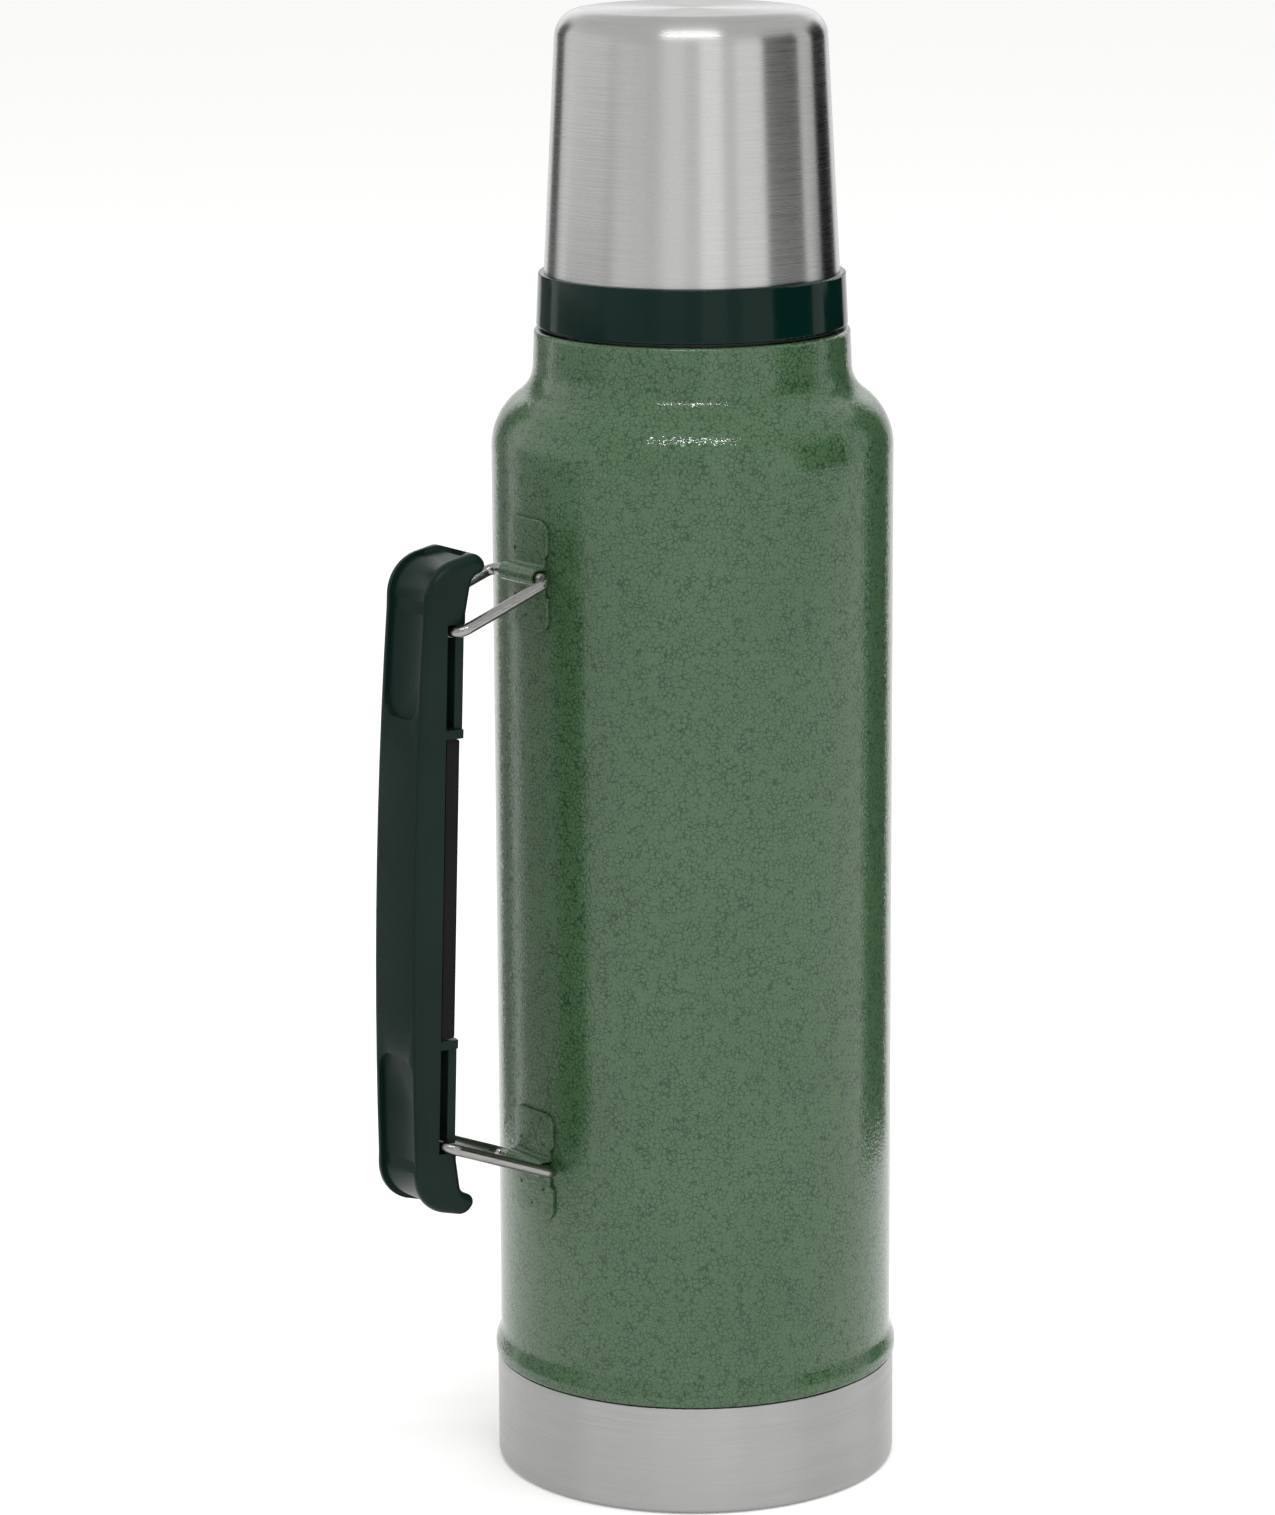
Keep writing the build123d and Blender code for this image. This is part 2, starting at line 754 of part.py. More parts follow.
# ---- Soft grip pad ------------------------------------------------------------------

with BuildPart() as grip_pad:
    with BuildSketch(handle_plane):
        with Locations((tray_bottom - pad_depth / 2, 0)):
            Rectangle(pad_depth, 2 * tray_half_length - 2 * pad_gap)
    extrude(amount=pad_width / 2, both=True)
    inner_face = grip_pad.faces().sort_by(Axis.X)[-1]
    fillet(inner_face.edges(), radius=pad_round)
save(grip_pad, "grip_pad")

print("vacuum gap", round(vacuum_gap, 2))
print("upper pivots", upper_pivot, upper_end)
print("lower pivots", lower_pivot, lower_end)
print("handle origin", handle_origin)
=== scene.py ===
"""Vacuum flask: finishes and a plain studio round the fixed frame.

Metres, +Z up, origin at the centre of the foot, handle towards -X.
"""

from math import cos, radians, sin

import bpy
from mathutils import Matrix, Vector

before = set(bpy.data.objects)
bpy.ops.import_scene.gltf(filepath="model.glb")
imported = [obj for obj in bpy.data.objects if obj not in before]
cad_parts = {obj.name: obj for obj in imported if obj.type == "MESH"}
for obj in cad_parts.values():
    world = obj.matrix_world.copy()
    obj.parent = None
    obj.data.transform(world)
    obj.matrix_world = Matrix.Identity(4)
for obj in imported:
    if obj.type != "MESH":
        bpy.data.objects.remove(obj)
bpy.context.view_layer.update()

bl_info = {
    "name": "Vacuum flask finishes",
    "version": (1, 0, 0),
    "blender": (4, 5, 0),
    "location": "3D View > Sidebar > Flask",
    "description": "Finishes and stages a screw-cup vacuum flask with a fold-in handle",
    "category": "Object",
}


def linear(code):
    """Linear RGBA from an sRGB hex colour."""
    channels = [int(code[i:i + 2], 16) / 255 for i in (1, 3, 5)]
    return [c / 12.92 if c <= 0.04045 else ((c + 0.055) / 1.055) ** 2.4 for c in channels] + [1.0]


def colour(name, description, code):
    """A colour that a user may change, with its sRGB hex default."""
    return bpy.props.FloatVectorProperty(
        name=name, description=description, default=linear(code), subtype="COLOR", size=4, min=0, max=1
    )


def length(name, description, default):
    """A size in metres that a user may change."""
    return bpy.props.FloatProperty(
        name=name, description=description, default=default, min=0.00001, unit="LENGTH", subtype="DISTANCE"
    )


class FlaskColours(bpy.types.PropertyGroup):
    """Colours of the finishes."""

    enamel: colour("Enamel", "Hammertone enamel between its veins", "#3A5739")
    enamel_pale: colour("Pale enamel", "Enamel where the flake lies thickest", "#436041")
    enamel_vein: colour("Enamel vein", "Enamel that has drawn into the veins", "#15311A")
    steel: colour("Brushed steel", "Cup", "#B3B3B2")
    base_steel: colour("Base steel", "Coarser brushed steel of the base", "#A8A8A7")
    bare_steel: colour("Pickled steel", "Inner bottle, mouth and base plate", "#A9A8A5")
    wire: colour("Wire", "Drawn stainless wire of the bails", "#9A9997")
    gloss_green: colour("Gloss green", "Polypropylene of the cup liner and stopper", "#031B16")
    satin_green: colour("Satin green", "Nylon of the handle", "#0D1E1A")
    grip: colour("Grip", "Soft pad of the handle", "#18181A")
    silicone: colour("Silicone", "Gaskets", "#C9CBC8")
    seal: colour("Cup seal", "Black silicone of the cup seal", "#1B1C1C")
    foam: colour("Foam", "Insulation in the stopper", "#D8CFB4")
    foil: colour("Foil", "Radiation foil round the inner bottle", "#D5A67F")
    floor: colour("Floor", "Floor and backdrop", "#F4F4F3")


class FlaskSizes(bpy.types.PropertyGroup):
    """Sizes of the patterns and of the studio."""

    enamel_cell: length("Enamel cell", "Width of one hammertone cell", 0.0012)
    wall_crevice: length("Wall crevice", "Reach of the shade beside a raised plate", 0.0012)
    plate_crevice: length("Plate crevice", "Reach of the shade in a weld dimple", 0.0020)
    brush_line: length("Brush line", "Spacing of the lines left by the abrasive belt", 0.0003)
    spark_grain: length("Spark grain", "Grain of the spark-eroded handle mould", 0.0006)
    brush_streak: length("Brush streak", "Length of one scratch round the wall", 0.03)
    sink_mark: length("Sink mark", "Width of the soft waves in the polished plastic", 0.004)
    mould_edge: length("Mould edge", "Rounding of the handle's sharp edges", 0.0005)
    foam_bubble: length("Foam bubble", "Width of one open bubble in the foam", 0.0008)
    camera_distance: length("Camera distance", "From the flask's axis, level", 1.2989)
    camera_height: length("Camera height", "Above the floor", 0.4716)
    floor_radius: length("Floor radius", "Flat part of the floor", 7.0)


# ---- Materials --------------------------------------------------------------------------


def add(material, kind, inputs, stops=None, **settings):
    """Add a node; inputs maps socket names or numbers to values or other nodes' outputs."""
    tree = material.node_tree
    node = tree.nodes.new("ShaderNode" + kind)
    for name, value in settings.items():
        setattr(node, name, value)
    for key, value in inputs.items():
        if isinstance(value, bpy.types.NodeSocket):
            tree.links.new(value, node.inputs[key])
        else:
            node.inputs[key].default_value = value
    for index, (position, shade) in enumerate(stops or []):
        ramp = node.color_ramp.elements
        stop = ramp[index] if index < len(ramp) else ramp.new(position)
        stop.position = position
        stop.color = shade
    return node


def surface(name, **sockets):
    """A new material and its Principled shader, with the values that are the same all over."""
    material = bpy.data.materials.new(name)
    material.use_nodes = True
    shader = material.node_tree.nodes["Principled BSDF"]
    for key, value in sockets.items():
        shader.inputs[key.replace("_", " ")].default_value = value
    return material, shader


def paint(node, material):
    """Give a node, or an object of the studio, one material all over."""
    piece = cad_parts[node] if isinstance(node, str) else node
    piece.data.materials.clear()
    piece.data.materials.append(material)


def soften(node, width):
    """Round the sharp edges of a CAD node with live modifiers, as a moulding's are."""
    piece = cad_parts[node]
    weld = piece.modifiers.new("weld", "WELD")
    weld.merge_threshold = 0.00001
    bevel = piece.modifiers.new("rounded edges", "BEVEL")
    bevel.width, bevel.segments, bevel.limit_method = width, 2, "ANGLE"
    bevel.angle_limit = radians(50)
    bevel.use_clamp_overlap = True


def grey(value):
    """A neutral stop for a ramp that steers a number."""
    return [value, value, value, 1.0]


def tint(base, share):
    """The same colour, darker or lighter."""
    return [min(1.0, c * share) for c in base[:3]] + [1.0]


def finish(material, shader, results):
    """Link the last node of each pattern to the shader's socket that it steers."""
    for socket, output in results.items():
        material.node_tree.links.new(output, shader.inputs[socket])
    return material


def hammertone_enamel(name, crevice):
    """Stoving enamel sprayed with aluminium flake and silicone, so that it crawls into cells.

    Paler flat cells between dark veins, with a soft orange-peel gloss over both. Corners narrower
    than the crevice distance are darkened with painted shade, which outlines small raised parts.
    """
    colours, sizes = bpy.context.scene.flask_colours, bpy.context.scene.flask_sizes
    material, shader = surface(name, Specular_IOR_Level=0.12, Coat_Weight=0.8, Coat_Roughness=0.05)
    place = add(material, "TexCoord", {}).outputs["Object"]
    drift = add(material, "TexNoise", {"Vector": place, "Scale": 0.9 / sizes.enamel_cell, "Detail": 2.0})
    nudge = add(
        material, "VectorMath", {0: drift.outputs["Color"], 1: [0.5, 0.5, 0.5]}, operation="SUBTRACT"
    )
    shift = add(
        material, "VectorMath", {0: nudge.outputs[0], "Scale": 0.9 * sizes.enamel_cell}, operation="SCALE"
    )
    warped = add(material, "VectorMath", {0: place, 1: shift.outputs[0]}, operation="ADD").outputs[0]
    cells = add(
        material, "TexVoronoi", {"Vector": warped, "Scale": 1 / sizes.enamel_cell}, feature="DISTANCE_TO_EDGE"
    )
    broken = add(
        material, "TexNoise", {"Vector": place, "Scale": 0.45 / sizes.enamel_cell, "Detail": 3.0}
    )
    # Veins fade in and out, as the paint closes over some of them.
    depth = add(
        material, "Math", {0: broken.outputs["Fac"], 1: 0.40, 2: -0.10}, operation="MULTIPLY_ADD"
    )
    open_cell = add(
        material, "Math", {0: cells.outputs["Distance"], 1: depth.outputs[0]},
        operation="DIVIDE", use_clamp=True,
    )
    flake = add(material, "TexNoise", {"Vector": place, "Scale": 1400.0, "Detail": 3.0, "Roughness": 0.7})
    cloud = add(material, "TexNoise", {"Vector": place, "Scale": 22.0, "Detail": 2.0})
    tone = add(
        material, "Math", {0: flake.outputs["Fac"], 1: cloud.outputs["Fac"]}, operation="ADD"
    )
    face = add(
        material, "ValToRGB", {"Fac": add(
            material, "Math", {0: tone.outputs[0], 1: 0.5}, operation="MULTIPLY"
        ).outputs[0]},
        stops=[(0.34, list(colours.enamel)), (0.66, list(colours.enamel_pale))],
    )
    coat = add(
        material, "Mix",
        {0: open_cell.outputs[0], 6: list(colours.enamel_vein), 7: face.outputs["Color"]},
        data_type="RGBA",
    )
    # Painted shade: ambient occlusion darkens the colour in crevices, weld dimples and beside raised plates.
    corner = add(material, "AmbientOcclusion", {"Distance": crevice}, samples=8)
    darkness = add(
        material, "ValToRGB", {"Fac": corner.outputs["AO"]}, stops=[(0.30, grey(0.12)), (0.80, grey(1.0))]
    )
    outlined = add(
        material, "Mix", {0: 1.0, 6: coat.outputs[2], 7: darkness.outputs["Color"]},
        data_type="RGBA", blend_type="MULTIPLY",
    )
    rough = add(
        material, "ValToRGB", {"Fac": open_cell.outputs[0]}, stops=[(0.0, grey(0.55)), (1.0, grey(0.36))]
    )
    swell = add(
        material, "Math", {0: cells.outputs["Distance"], 1: broken.outputs["Fac"]}, operation="MULTIPLY"
    )
    relief = add(
        material, "Bump",
        {"Strength": 1.0, "Distance": 0.00012, "Height": swell.outputs[0]},
    )
    return finish(material, shader, {
        "Base Color": outlined.outputs[2],
        "Roughness": rough.outputs["Color"],
        "Normal": relief.outputs["Normal"],
        "Coat Normal": relief.outputs["Normal"],
    })


def lathe_lines(material, spacing, streak):
    """Coordinates that repeat up a round wall and outwards on its end, but hardly change around it."""
    place = add(material, "TexCoord", {}).outputs["Object"]
    split = add(material, "SeparateXYZ", {0: place})
    flat = add(material, "CombineXYZ", {0: split.outputs[0], 1: split.outputs[1]})
    reach = add(material, "VectorMath", {0: flat.outputs[0]}, operation="LENGTH")
    travel = add(
        material, "Math", {0: reach.outputs["Value"], 1: split.outputs[2]}, operation="ADD"
    )
    across = add(material, "Math", {0: travel.outputs[0], 1: 1 / spacing}, operation="MULTIPLY")
    turned = add(material, "VectorMath", {0: flat.outputs[0], "Scale": 1 / streak}, operation="SCALE")
    parts = add(material, "SeparateXYZ", {0: turned.outputs[0]})
    return add(
        material, "CombineXYZ", {0: parts.outputs[0], 1: parts.outputs[1], 2: across.outputs[0]}
    ).outputs[0]


def brushed_steel(name, base, roughness, relief_depth):
    """Stainless sheet turned on a lathe and brushed with an abrasive belt.

    Fine rings round the wall draw each reflection out up and down it.
    The real lines are 0.05 mm apart; they are drawn about six times as coarse so that they show.
    """
    sizes = bpy.context.scene.flask_sizes
    material, shader = surface(name, Metallic=1.0, Anisotropic=0.88, Anisotropic_Rotation=0.25)
    lines = lathe_lines(material, sizes.brush_line, sizes.brush_streak)
    scratch = add(
        material, "TexNoise", {"Vector": lines, "Scale": 1.0, "Detail": 4.0, "Roughness": 0.75}
    )
    shade = add(
        material, "ValToRGB", {"Fac": scratch.outputs["Fac"]},
        stops=[
            (0.30, tint(base, 0.95)),
            (0.55, list(base)),
            (0.75, tint(base, 1.04)),
        ],
    )
    rough = add(
        material, "ValToRGB", {"Fac": scratch.outputs["Fac"]},
        stops=[(0.3, grey(roughness * 1.25)), (0.7, grey(roughness * 0.85))],
    )
    relief = add(
        material, "Bump", {"Strength": 0.25, "Distance": relief_depth, "Height": scratch.outputs["Fac"]}
    )
    grain = add(material, "Tangent", {}, direction_type="RADIAL", axis="Z")
    return finish(material, shader, {
        "Base Color": shade.outputs["Color"],
        "Roughness": rough.outputs["Color"],
        "Normal": relief.outputs["Normal"],
        "Tangent": grain.outputs[0],
    })


def pickled_steel():
    """Stainless sheet as deep drawn and pickled: a dull silver with faint rings and cloudy patches."""
    colours, sizes = bpy.context.scene.flask_colours, bpy.context.scene.flask_sizes
    material, shader = surface("Deep-drawn stainless steel, pickled", Metallic=1.0)
    lines = lathe_lines(material, 3 * sizes.brush_line, 0.05)
    rings = add(material, "TexNoise", {"Vector": lines, "Scale": 1.0, "Detail": 3.0})
    place = add(material, "TexCoord", {}).outputs["Object"]
    cloud = add(material, "TexNoise", {"Vector": place, "Scale": 45.0, "Detail": 4.0})
    blend = add(
        material, "Math", {0: rings.outputs["Fac"], 1: cloud.outputs["Fac"]}, operation="MULTIPLY"
    )
    shade = add(
        material, "ValToRGB", {"Fac": blend.outputs[0]},
        stops=[(0.15, tint(colours.bare_steel, 0.78)), (0.4, list(colours.bare_steel))],
    )
    rough = add(
        material, "ValToRGB", {"Fac": cloud.outputs["Fac"]}, stops=[(0.3, grey(0.30)), (0.7, grey(0.44))]
    )
    relief = add(
        material, "Bump", {"Strength": 0.2, "Distance": 0.00003, "Height": rings.outputs["Fac"]}
    )
    return finish(material, shader, {
        "Base Color": shade.outputs["Color"],
        "Roughness": rough.outputs["Color"],
        "Normal": relief.outputs["Normal"],
    })


def drawn_wire():
    """Bright drawn stainless wire: near mirror, with faint die lines along it."""
    colours = bpy.context.scene.flask_colours
    material, shader = surface("Bright drawn stainless wire", Metallic=1.0)
    place = add(material, "TexCoord", {}).outputs["Object"]
    run = add(material, "Mapping", {"Vector": place, "Scale": [90.0, 3500.0, 3500.0]})
    marks = add(material, "TexNoise", {"Vector": run.outputs[0], "Scale": 1.0, "Detail": 3.0})
    shade = add(
        material, "ValToRGB", {"Fac": marks.outputs["Fac"]},
        stops=[(0.3, tint(colours.wire, 0.82)), (0.6, list(colours.wire))],
    )
    rough = add(
        material, "ValToRGB", {"Fac": marks.outputs["Fac"]}, stops=[(0.3, grey(0.26)), (0.7, grey(0.14))]
    )
    relief = add(
        material, "Bump", {"Strength": 0.15, "Distance": 0.00002, "Height": marks.outputs["Fac"]}
    )
    return finish(material, shader, {
        "Base Color": shade.outputs["Color"],
        "Roughness": rough.outputs["Color"],
        "Normal": relief.outputs["Normal"],
    })


def moulded_plastic(name, base, lift, grain, grain_depth, low, high, specular):
    """Injection-moulded plastic whose mould surface shows as a grain of the given size.

    The grain breaks up the gloss; slow flow marks vary the shade slightly.
    """
    material, shader = surface(name, IOR=1.49, Specular_IOR_Level=specular)
    place = add(material, "TexCoord", {}).outputs["Object"]
    spark = add(
        material, "TexNoise", {"Vector": place, "Scale": 1 / grain, "Detail": 3.0, "Roughness": 0.6}
    )
    flow = add(material, "TexNoise", {"Vector": place, "Scale": 38.0, "Detail": 2.0})
    shade = add(
        material, "ValToRGB", {"Fac": flow.outputs["Fac"]},
        stops=[(0.3, list(base)), (0.75, tint(base, lift))],
    )
    rough = add(
        material, "ValToRGB", {"Fac": spark.outputs["Fac"]}, stops=[(0.3, grey(low)), (0.7, grey(high))]
    )
    relief = add(
        material, "Bump", {"Strength": 0.5, "Distance": grain_depth, "Height": spark.outputs["Fac"]}
    )
    return finish(material, shader, {
        "Base Color": shade.outputs["Color"],
        "Roughness": rough.outputs["Color"],
        "Normal": relief.outputs["Normal"],
    })


def silicone_rubber(name, base):
    """Cured silicone rubber: milky, a little light passes into it, with a soft skin."""
    material, shader = surface(name, IOR=1.41, Subsurface_Weight=0.4, Subsurface_Scale=0.001)
    place = add(material, "TexCoord", {}).outputs["Object"]
    dust = add(material, "TexNoise", {"Vector": place, "Scale": 700.0, "Detail": 2.0})
    shade = add(
        material, "ValToRGB", {"Fac": dust.outputs["Fac"]},
        stops=[(0.3, tint(base, 0.85)), (0.7, list(base))],
    )
    rough = add(
        material, "ValToRGB", {"Fac": dust.outputs["Fac"]}, stops=[(0.3, grey(0.42)), (0.7, grey(0.58))]
    )
    return finish(material, shader, {
        "Base Color": shade.outputs["Color"],
        "Roughness": rough.outputs["Color"],
    })


def rigid_foam():
    """Poured polyurethane foam: a cream skin pitted with open bubbles."""
    colours, sizes = bpy.context.scene.flask_colours, bpy.context.scene.flask_sizes
    material, shader = surface("Rigid polyurethane foam, poured", IOR=1.5, Roughness=0.9)
    place = add(material, "TexCoord", {}).outputs["Object"]
    bubbles = add(material, "TexVoronoi", {"Vector": place, "Scale": 1 / sizes.foam_bubble})
    shade = add(
        # Painted shade: the colour is darkest in the bubbles' pits, where the bump is lowest.
        material, "ValToRGB", {"Fac": bubbles.outputs["Distance"]},
        stops=[(0.1, tint(colours.foam, 0.55)), (0.5, list(colours.foam))],
    )
    relief = add(
        material, "Bump", {"Strength": 0.7, "Distance": 0.0002, "Height": bubbles.outputs["Distance"]}
    )
    return finish(material, shader, {
        "Base Color": shade.outputs["Color"],
        "Normal": relief.outputs["Normal"],
    })


def rolled_foil(name, base):
    """Rolled metal foil: bright, with shallow crinkles that break the reflection."""
    material, shader = surface(name, Metallic=1.0)
    place = add(material, "TexCoord", {}).outputs["Object"]
    crinkle = add(
        material, "TexNoise", {"Vector": place, "Scale": 160.0, "Detail": 4.0, "Distortion": 1.2}
    )
    shade = add(
        material, "ValToRGB", {"Fac": crinkle.outputs["Fac"]},
        stops=[(0.3, tint(base, 0.8)), (0.7, list(base))],
    )
    rough = add(
        material, "ValToRGB", {"Fac": crinkle.outputs["Fac"]}, stops=[(0.3, grey(0.16)), (0.7, grey(0.30))]
    )
    relief = add(
        material, "Bump", {"Strength": 0.6, "Distance": 0.0003, "Height": crinkle.outputs["Fac"]}
    )
    return finish(material, shader, {
        "Base Color": shade.outputs["Color"],
        "Roughness": rough.outputs["Color"],
        "Normal": relief.outputs["Normal"],
    })


# ---- Operators --------------------------------------------------------------------------


class FLASK_OT_body(bpy.types.Operator):
    """Enamel the outer shell and its brackets"""

    bl_idname = "flask.body"
    bl_label = "Enamelled body"

    def execute(self, context):
        sizes = context.scene.flask_sizes
        # Both coats darken their crevices with painted shade; the plates' longer reach shades weld dimples
        # and rims.
        wall = hammertone_enamel("Hammertone stoving enamel, sprayed", sizes.wall_crevice)
        paint("outer_shell", wall)
        plate = hammertone_enamel("Hammertone stoving enamel over pressed plates", sizes.plate_crevice)
        for node in ("upper_bracket", "lower_bracket"):
            paint(node, plate)
        return {"FINISHED"}


class FLASK_OT_steel(bpy.types.Operator):
    """Brush the steel cup and base"""

    bl_idname = "flask.steel"
    bl_label = "Brushed steel"

    def execute(self, context):
        colours = context.scene.flask_colours
        fine = brushed_steel("Stainless steel, fine belt brushed", colours.steel, 0.27, 0.000004)
        coarse = brushed_steel(
            "Stainless steel, coarse belt brushed", colours.base_steel, 0.34, 0.00002
        )
        paint("cup_shell", fine)
        paint("base_cap", coarse)
        return {"FINISHED"}


class FLASK_OT_cup_liner(bpy.types.Operator):
    """Mould the cup liner and the stopper"""

    bl_idname = "flask.cup_liner"
    bl_label = "Cup liner and stopper"

    def execute(self, context):
        colours, sizes = context.scene.flask_colours, context.scene.flask_sizes
        gloss = moulded_plastic(
            "Polypropylene, moulded in a polished tool", colours.gloss_green, lift=1.25,
            grain=sizes.sink_mark, grain_depth=0.00003, low=0.08, high=0.14, specular=0.15,
        )
        for node in ("cup_liner", "stopper_plug", "stopper_knob"):
            paint(node, gloss)
        paint("stopper_foam", rigid_foam())
        return {"FINISHED"}


class FLASK_OT_gaskets(bpy.types.Operator):
    """Mould the two gaskets"""

    bl_idname = "flask.gaskets"
    bl_label = "Gaskets"

    def execute(self, context):
        colours = context.scene.flask_colours
        paint("stopper_gasket", silicone_rubber("Silicone rubber, compression moulded", colours.silicone))
        paint("cup_gasket", silicone_rubber("Silicone rubber, black, extruded", colours.seal))
        return {"FINISHED"}


class FLASK_OT_handle(bpy.types.Operator):
    """Mould the handle and its soft pad"""

    bl_idname = "flask.handle"
    bl_label = "Handle"

    def execute(self, context):
        colours, sizes = context.scene.flask_colours, context.scene.flask_sizes
        nylon = moulded_plastic(
            "Glass-filled nylon, moulded in a spark-eroded tool", colours.satin_green, lift=1.35,
            grain=sizes.spark_grain, grain_depth=0.00001, low=0.27, high=0.31, specular=0.12,
        )
        pad = moulded_plastic(
            "Thermoplastic rubber, moulded matt", colours.grip, lift=1.3,
            grain=sizes.spark_grain, grain_depth=0.00008, low=0.62, high=0.8, specular=0.08,
        )
        for node in ("handle_shell", "handle_cover"):
            paint(node, nylon)
        soften("handle_shell", sizes.mould_edge)
        paint("grip_pad", pad)
        return {"FINISHED"}


class FLASK_OT_bails(bpy.types.Operator):
    """Finish the two wire bails"""

    bl_idname = "flask.bails"
    bl_label = "Wire bails"

    def execute(self, context):
        wire = drawn_wire()
        for node in ("upper_bail", "lower_bail"):
            paint(node, wire)
        return {"FINISHED"}


class FLASK_OT_inside(bpy.types.Operator):
    """Finish the inner bottle, its mouth and what is in the vacuum space"""

    bl_idname = "flask.inside"
    bl_label = "Inside"

    def execute(self, context):
        colours = context.scene.flask_colours
        sheet = pickled_steel()
        for node in ("inner_bottle", "mouth_ring", "outer_base_plate"):
            paint(node, sheet)
        paint("radiation_foil", rolled_foil("Copper foil, rolled bright", colours.foil))
        dull = rolled_foil("Sintered zirconium getter metal", linear("#6E6C6A"))
        for node in ("getter", "vacuum_seal_plug"):
            paint(node, dull)
        return {"FINISHED"}


class FLASK_OT_stage(bpy.types.Operator):
    """Build the floor, the lights and the camera"""

    bl_idname = "flask.stage"
    bl_label = "Studio"

    def execute(self, context):
        colours, sizes = context.scene.flask_colours, context.scene.flask_sizes
        bpy.ops.object.select_all(action="DESELECT")
        bpy.ops.mesh.primitive_circle_add(
            vertices=96, radius=sizes.floor_radius, fill_type="NGON", location=(0, 0, FLOOR_LEVEL)
        )
        floor = context.object
        floor.name = "floor"
        board = surface("Matt white paper floor", Roughness=0.9, Specular_IOR_Level=0.1)[0]
        shader = board.node_tree.nodes["Principled BSDF"]
        shader.inputs["Base Color"].default_value = list(colours.floor)
        shader.inputs["Emission Color"].default_value = [1.0, 1.0, 1.0, 1.0]
        shader.inputs["Emission Strength"].default_value = FLOOR_GLOW
        paint(floor, board)
        context.scene.view_settings.view_transform = "Standard"
        world = bpy.data.worlds.new("Soft white surroundings")
        world.use_nodes = True
        back = world.node_tree.nodes["Background"]
        back.inputs["Color"].default_value = [1.0, 1.0, 1.0, 1.0]
        back.inputs["Strength"].default_value = WORLD_GLOW
        context.scene.world = world

        camera_at = radians(CAMERA_BEARING)
        for card in CARDS:
            self.card(*card)
        # The key is a thin strip that draws the crisp lines on the shoulder.
        self.lamp("key", camera_at, elevation=52, distance=1.7, width=1.15, height=0.03, power=6.5)
        # The broad top lamp only lightens; it isn't seen in the gloss.
        top = self.lamp(
            "top", camera_at + radians(60), elevation=80, distance=2.4, width=1.6, height=1.6, power=22.0
        )
        top.visible_glossy = False

        camera = bpy.data.objects.new("camera", bpy.data.cameras.new("camera"))
        context.scene.collection.objects.link(camera)
        camera.location = (
            sizes.camera_distance * cos(camera_at),
            sizes.camera_distance * sin(camera_at),
            sizes.camera_height,
        )
        pitch = radians(CAMERA_PITCH)
        forward = Vector((-cos(camera_at) * cos(pitch), -sin(camera_at) * cos(pitch), -sin(pitch)))
        camera.rotation_euler = forward.to_track_quat("-Z", "Y").to_euler()
        camera.rotation_euler.rotate_axis("Z", CAMERA_ROLL)
        camera.data.lens = CAMERA_LENS
        camera.data.sensor_width = CAMERA_SENSOR
        camera.data.shift_x = CAMERA_SHIFT
        camera.data.clip_start, camera.data.clip_end = 0.05, 60.0
        context.scene.camera = camera
        return {"FINISHED"}

    def card(self, name, start, end, glow, radius):
        """Upright curved card that is seen only in reflections, between two reflected bearings."""
        bpy.ops.object.select_all(action="DESELECT")
        low, high = CARD_SPANS[radius]
        bpy.ops.mesh.primitive_cylinder_add(
            vertices=CARD_STRIPS, radius=radius, depth=high - low, end_fill_type="NOTHING",
            location=(0, 0, (low + high) / 2),
        )
        card = bpy.context.object
        card.name = name
        bpy.ops.object.mode_set(mode="EDIT")
        bpy.ops.mesh.select_all(action="DESELECT")
        bpy.ops.object.mode_set(mode="OBJECT")
        middle, half = CAMERA_BEARING + (start + end) / 2, (end - start) / 2
        aim = Vector((cos(radians(middle)), sin(radians(middle)), 0))
        for face in card.data.polygons:
            flat = Vector((face.normal.x, face.normal.y, 0)).normalized()
            face.select = flat.dot(aim) < cos(radians(half))
        bpy.ops.object.mode_set(mode="EDIT")
        bpy.ops.mesh.delete(type="FACE")
        bpy.ops.object.mode_set(mode="OBJECT")
        material = surface(name, Roughness=1.0, Emission_Strength=glow, Specular_IOR_Level=0.0)[0]
        shader = material.node_tree.nodes["Principled BSDF"]
        shader.inputs["Base Color"].default_value = [0.0, 0.0, 0.0, 1.0]
        shader.inputs["Emission Color"].default_value = [1.0, 1.0, 1.0, 1.0]
        paint(card, material)
        card.visible_camera = card.visible_diffuse = card.visible_shadow = False

    def lamp(self, name, bearing, elevation, distance, width, height, power):
        """Soft rectangular lamp aimed at the middle of the flask."""
        data = bpy.data.lights.new(name, "AREA")
        data.shape = "RECTANGLE"
        data.size, data.size_y, data.energy = width, height, power
        lamp = bpy.data.objects.new(name, data)
        rise = radians(elevation)
        away = Vector((cos(bearing) * cos(rise), sin(bearing) * cos(rise), sin(rise)))
        lamp.location = Vector((0, 0, LAMP_AIM)) + away * distance
        lamp.rotation_euler = (-away).to_track_quat("-Z", "Y").to_euler()
        bpy.context.scene.collection.objects.link(lamp)
        return lamp


class FLASK_PT_panel(bpy.types.Panel):
    """Lists the flask's finishes and its studio"""

    bl_label = "Vacuum flask"
    bl_idname = "FLASK_PT_panel"
    bl_space_type = "VIEW_3D"
    bl_region_type = "UI"
    bl_category = "Flask"

    def draw(self, context):
        for operator in OPERATORS:
            self.layout.operator(operator.bl_idname)
        for group in (context.scene.flask_colours, context.scene.flask_sizes):
            for name in group.__annotations__:
                self.layout.prop(group, name)


# Lower and upper edges of the cards at each radius: studio cards, back card and near flags.
CARD_SPANS = {0.8: (0.17, 0.67), 1.6: (0.5, 1.1), 0.3: (0.002, 0.28)}
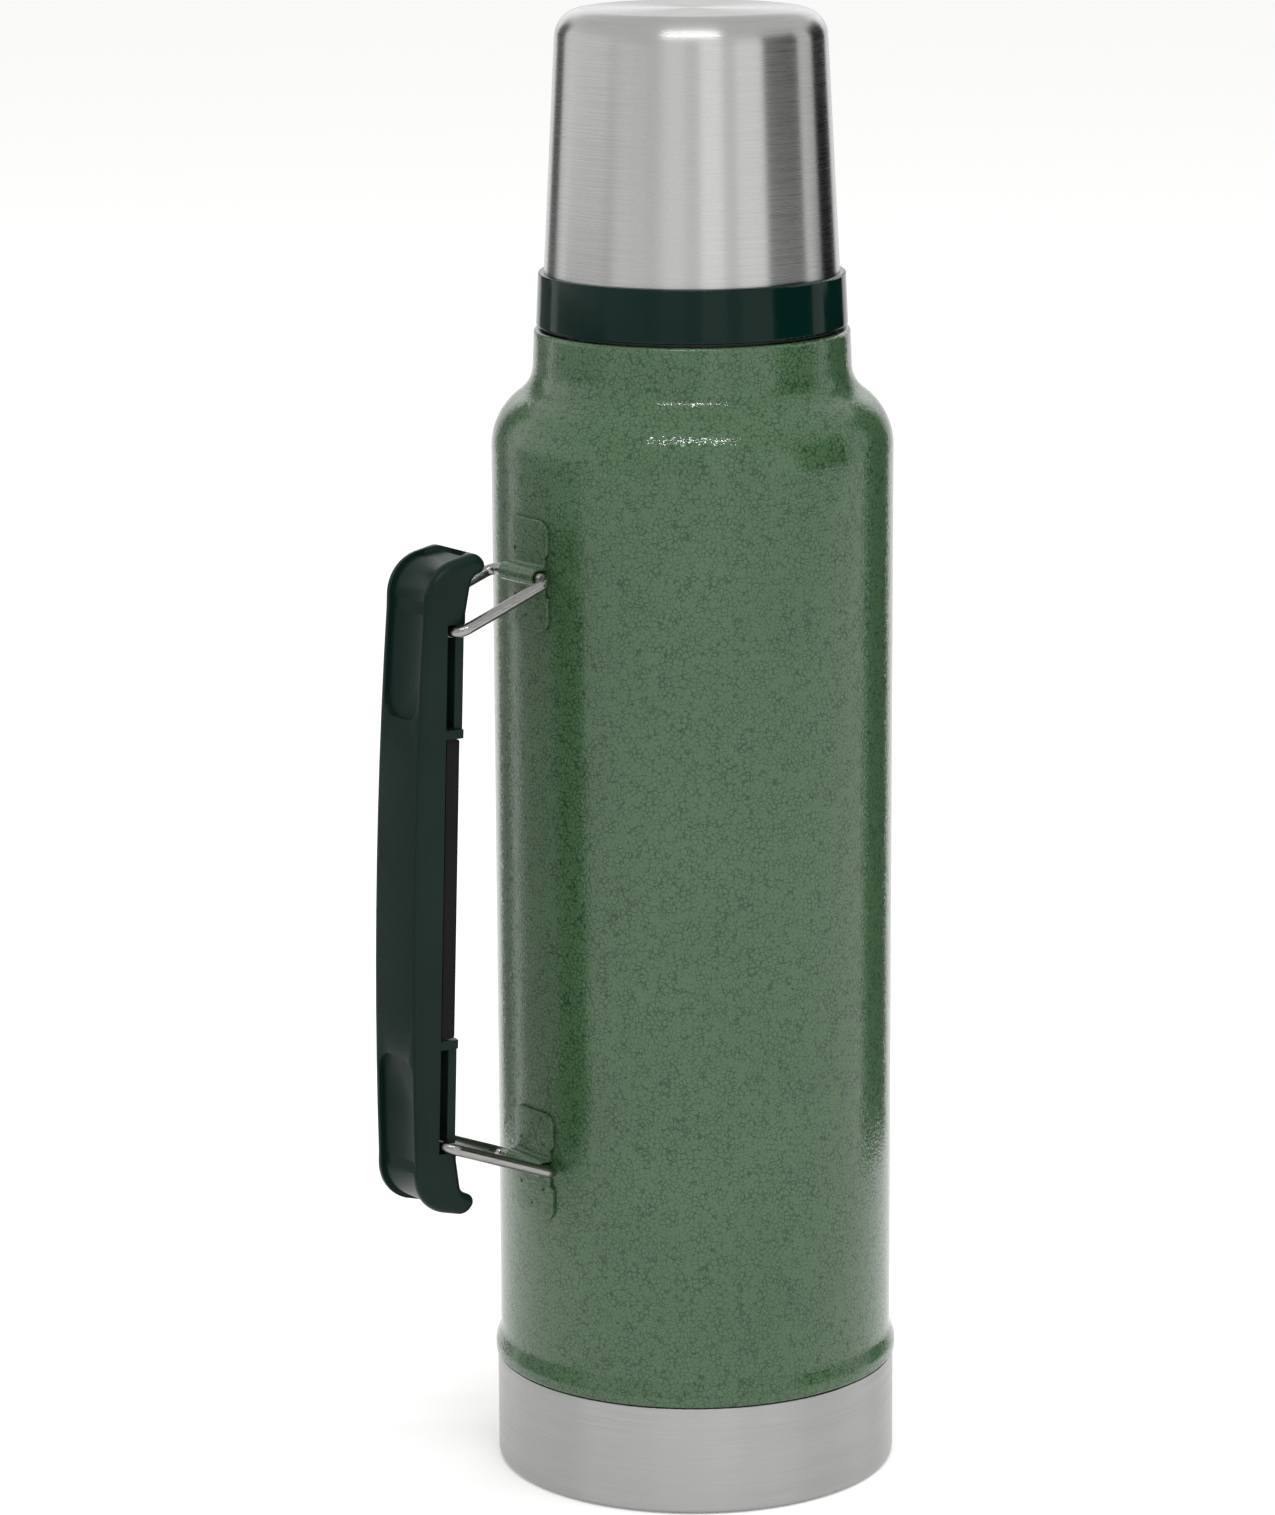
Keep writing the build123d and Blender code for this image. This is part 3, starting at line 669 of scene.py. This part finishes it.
# Reflected bearings from the camera's, in degrees, how bright each card is, and its radius.
CARDS = (
    ("card_edge_left", -150, -131, 0.08, 0.8),
    ("card_left", -128, -72, 1.12, 0.8),
    ("card_mid_left", -71, -50, 0.98, 0.8),
    ("card_dip_left", -37, -26, 0.80, 0.8),
    ("card_centre", -22, -6, 1.05, 0.8),
    ("card_dip_centre", -4, 6, 0.80, 0.8),
    ("card_bright_near", 7, 25, 1.38, 0.8),
    ("card_dip_right", 26, 35, 0.90, 0.8),
    ("card_bright_far", 36, 60, 1.28, 0.8),
    ("card_grey", 61, 98, 0.0, 0.8),
    ("card_soft_right", 99, 117, 0.90, 0.8),
    ("card_black", 118, 148, 0.0, 0.8),
    ("card_back", 145, 215, 1.25, 1.6),
    ("flag_left_edge", -143, -122, 0.20, 0.3),
    ("flag_left", -112, -62, 0.42, 0.3),
    ("flag_right_edge", 108, 142, 0.0, 0.3),
)
CAMERA_BEARING = 233.4   # degrees round the axis from +X
CAMERA_PITCH = 12.55     # degrees below level
CAMERA_ROLL = -0.0033    # radians
CAMERA_LENS = 125.58     # mm
CAMERA_SENSOR = 36.0     # mm
CAMERA_SHIFT = -0.037
FLOOR_LEVEL = -0.0002    # just under the foot, so that the two don't flicker
FLOOR_GLOW = 0.16        # lifts the floor to the white of the surroundings
WORLD_GLOW = 0.85
LAMP_AIM = 0.2           # height that the lamps point at
CARD_STRIPS = 720        # half a degree each
OPERATORS = (
    FLASK_OT_body,
    FLASK_OT_steel,
    FLASK_OT_cup_liner,
    FLASK_OT_gaskets,
    FLASK_OT_handle,
    FLASK_OT_bails,
    FLASK_OT_inside,
    FLASK_OT_stage,
)
CLASSES = (FlaskColours, FlaskSizes) + OPERATORS + (FLASK_PT_panel,)


def register():
    for item in CLASSES:
        bpy.utils.register_class(item)
    bpy.types.Scene.flask_colours = bpy.props.PointerProperty(type=FlaskColours)
    bpy.types.Scene.flask_sizes = bpy.props.PointerProperty(type=FlaskSizes)


def unregister():
    del bpy.types.Scene.flask_sizes
    del bpy.types.Scene.flask_colours
    for item in reversed(CLASSES):
        bpy.utils.unregister_class(item)


def main():
    register()
    for operator in OPERATORS:
        group, name = operator.bl_idname.split(".")
        getattr(getattr(bpy.ops, group), name)()


if __name__ == "__main__":
    main()
